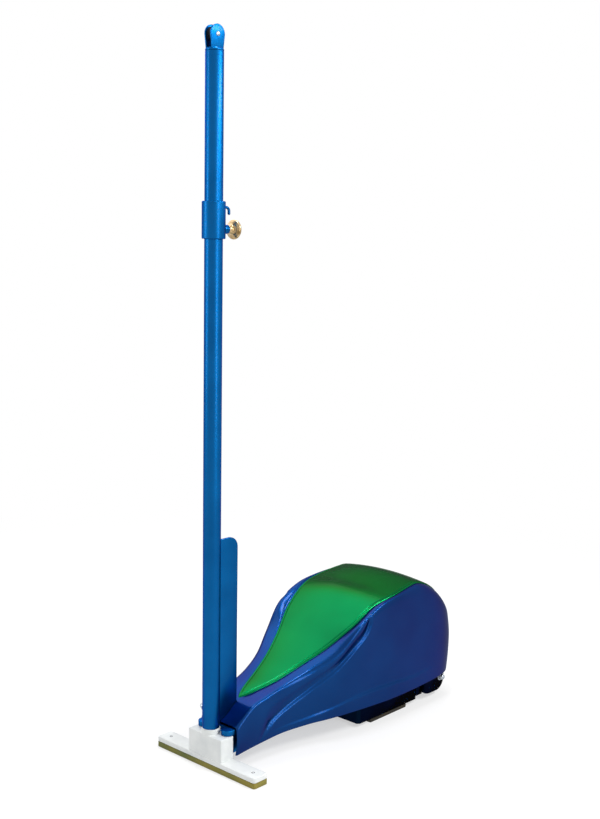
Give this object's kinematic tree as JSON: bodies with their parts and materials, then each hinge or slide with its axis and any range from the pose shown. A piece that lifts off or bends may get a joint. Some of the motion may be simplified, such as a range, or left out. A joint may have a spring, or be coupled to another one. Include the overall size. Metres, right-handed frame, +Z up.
{
  "type": "badminton net post",
  "caption": "Free-standing badminton net post: T-shaped foot, tube with top cord pulley, sliding hook collar with clamp knob, and a wheeled weight base under a moulded cover.",
  "frame": {"origin": "on the floor, on the axis of the post tube, at the underside of the foot pad", "axes": "+Z up along the post, +X along the foot bar, +Y towards the weight base, so the net is on the -Y side"},
  "size_m": [0.307, 0.7763, 1.55],
  "materials": {
    "blue_paint": "gloss metallic blue paint",
    "white_paint": "semi-gloss white paint",
    "olive_rubber": "matt olive rubber",
    "bright_steel": "bright plated steel",
    "brass": "polished pale brass",
    "black_nylon": "satin black nylon",
    "tyre_rubber": "matt dark rubber",
    "iron_paint": "dark blue painted iron",
    "blue_gloss": "gloss blue moulded plastic",
    "green_gloss": "gloss green moulded plastic"
  },
  "bodies": {
    "post": {"post_tube": "blue_paint", "back_plate": "blue_paint", "top_clevis": "blue_paint", "fork_plate": "blue_paint", "rail_left": "blue_paint", "rail_right": "blue_paint", "wheel_guard_left": "blue_paint", "wheel_guard_right": "blue_paint", "foot_casting": "white_paint", "foot_pad": "olive_rubber", "rest_pad_left": "olive_rubber", "rest_pad_right": "olive_rubber", "foot_screw_left": "bright_steel", "foot_screw_right": "bright_steel", "post_lock_bolt": "bright_steel", "pulley_pin": "bright_steel", "wheel_axle": "bright_steel", "axle_nut_left": "bright_steel", "axle_nut_right": "bright_steel", "tie_bolt_front_left": "bright_steel", "tie_bolt_front_right": "bright_steel", "tie_bolt_rear_left": "bright_steel", "tie_bolt_rear_right": "bright_steel", "cover_screw_left": "bright_steel", "cover_screw_right": "bright_steel", "lower_weight": "iron_paint", "upper_weight_1": "iron_paint", "upper_weight_2": "iron_paint", "cover_stay": "iron_paint", "cover_shell": "blue_gloss", "cover_panel": "green_gloss"},
    "pulley": {"pulley": "black_nylon"},
    "slider": {"slider_collar": "blue_paint", "cord_hook": "blue_paint"},
    "clamp_shoe": {"clamp_shoe": "brass"},
    "clamp_knob": {"clamp_knob": "brass", "clamp_screw": "bright_steel"},
    "wheel_left": {"wheel_hub_left": "black_nylon", "tyre_left": "tyre_rubber", "wheel_bush_left": "brass"},
    "wheel_right": {"wheel_hub_right": "black_nylon", "tyre_right": "tyre_rubber", "wheel_bush_right": "brass"}
  },
  "joints": [
    {"name": "pulley_spin", "type": "hinge", "parent": "post", "child": "pulley", "pos_m": [0, 0, 1.53095], "axis": [1, 0, 0], "continuous": true},
    {"name": "slider_travel", "type": "slide", "parent": "post", "child": "slider", "axis": [0, 0, 1], "range_m": [-0.62, 0.28]},
    {"name": "clamp_travel", "type": "slide", "parent": "slider", "child": "clamp_shoe", "axis": [0, 1, 0], "range_m": [0, 0.0031]},
    {"name": "clamp_turn", "type": "hinge", "parent": "clamp_shoe", "child": "clamp_knob", "pos_m": [0, 0.05, 1.148], "axis": [0, 1, 0], "range_deg": [0, 720]},
    {"name": "wheel_spin_left", "type": "hinge", "parent": "post", "child": "wheel_left", "pos_m": [-0.083, 0.682, 0.046], "axis": [1, 0, 0], "continuous": true},
    {"name": "wheel_spin_right", "type": "hinge", "parent": "post", "child": "wheel_right", "pos_m": [0.083, 0.682, 0.046], "axis": [1, 0, 0], "continuous": true}
  ],
  "couplings": [
    {"joint": "clamp_travel", "follows": "clamp_turn", "m_per_rad": 0.00023873}
  ]
}
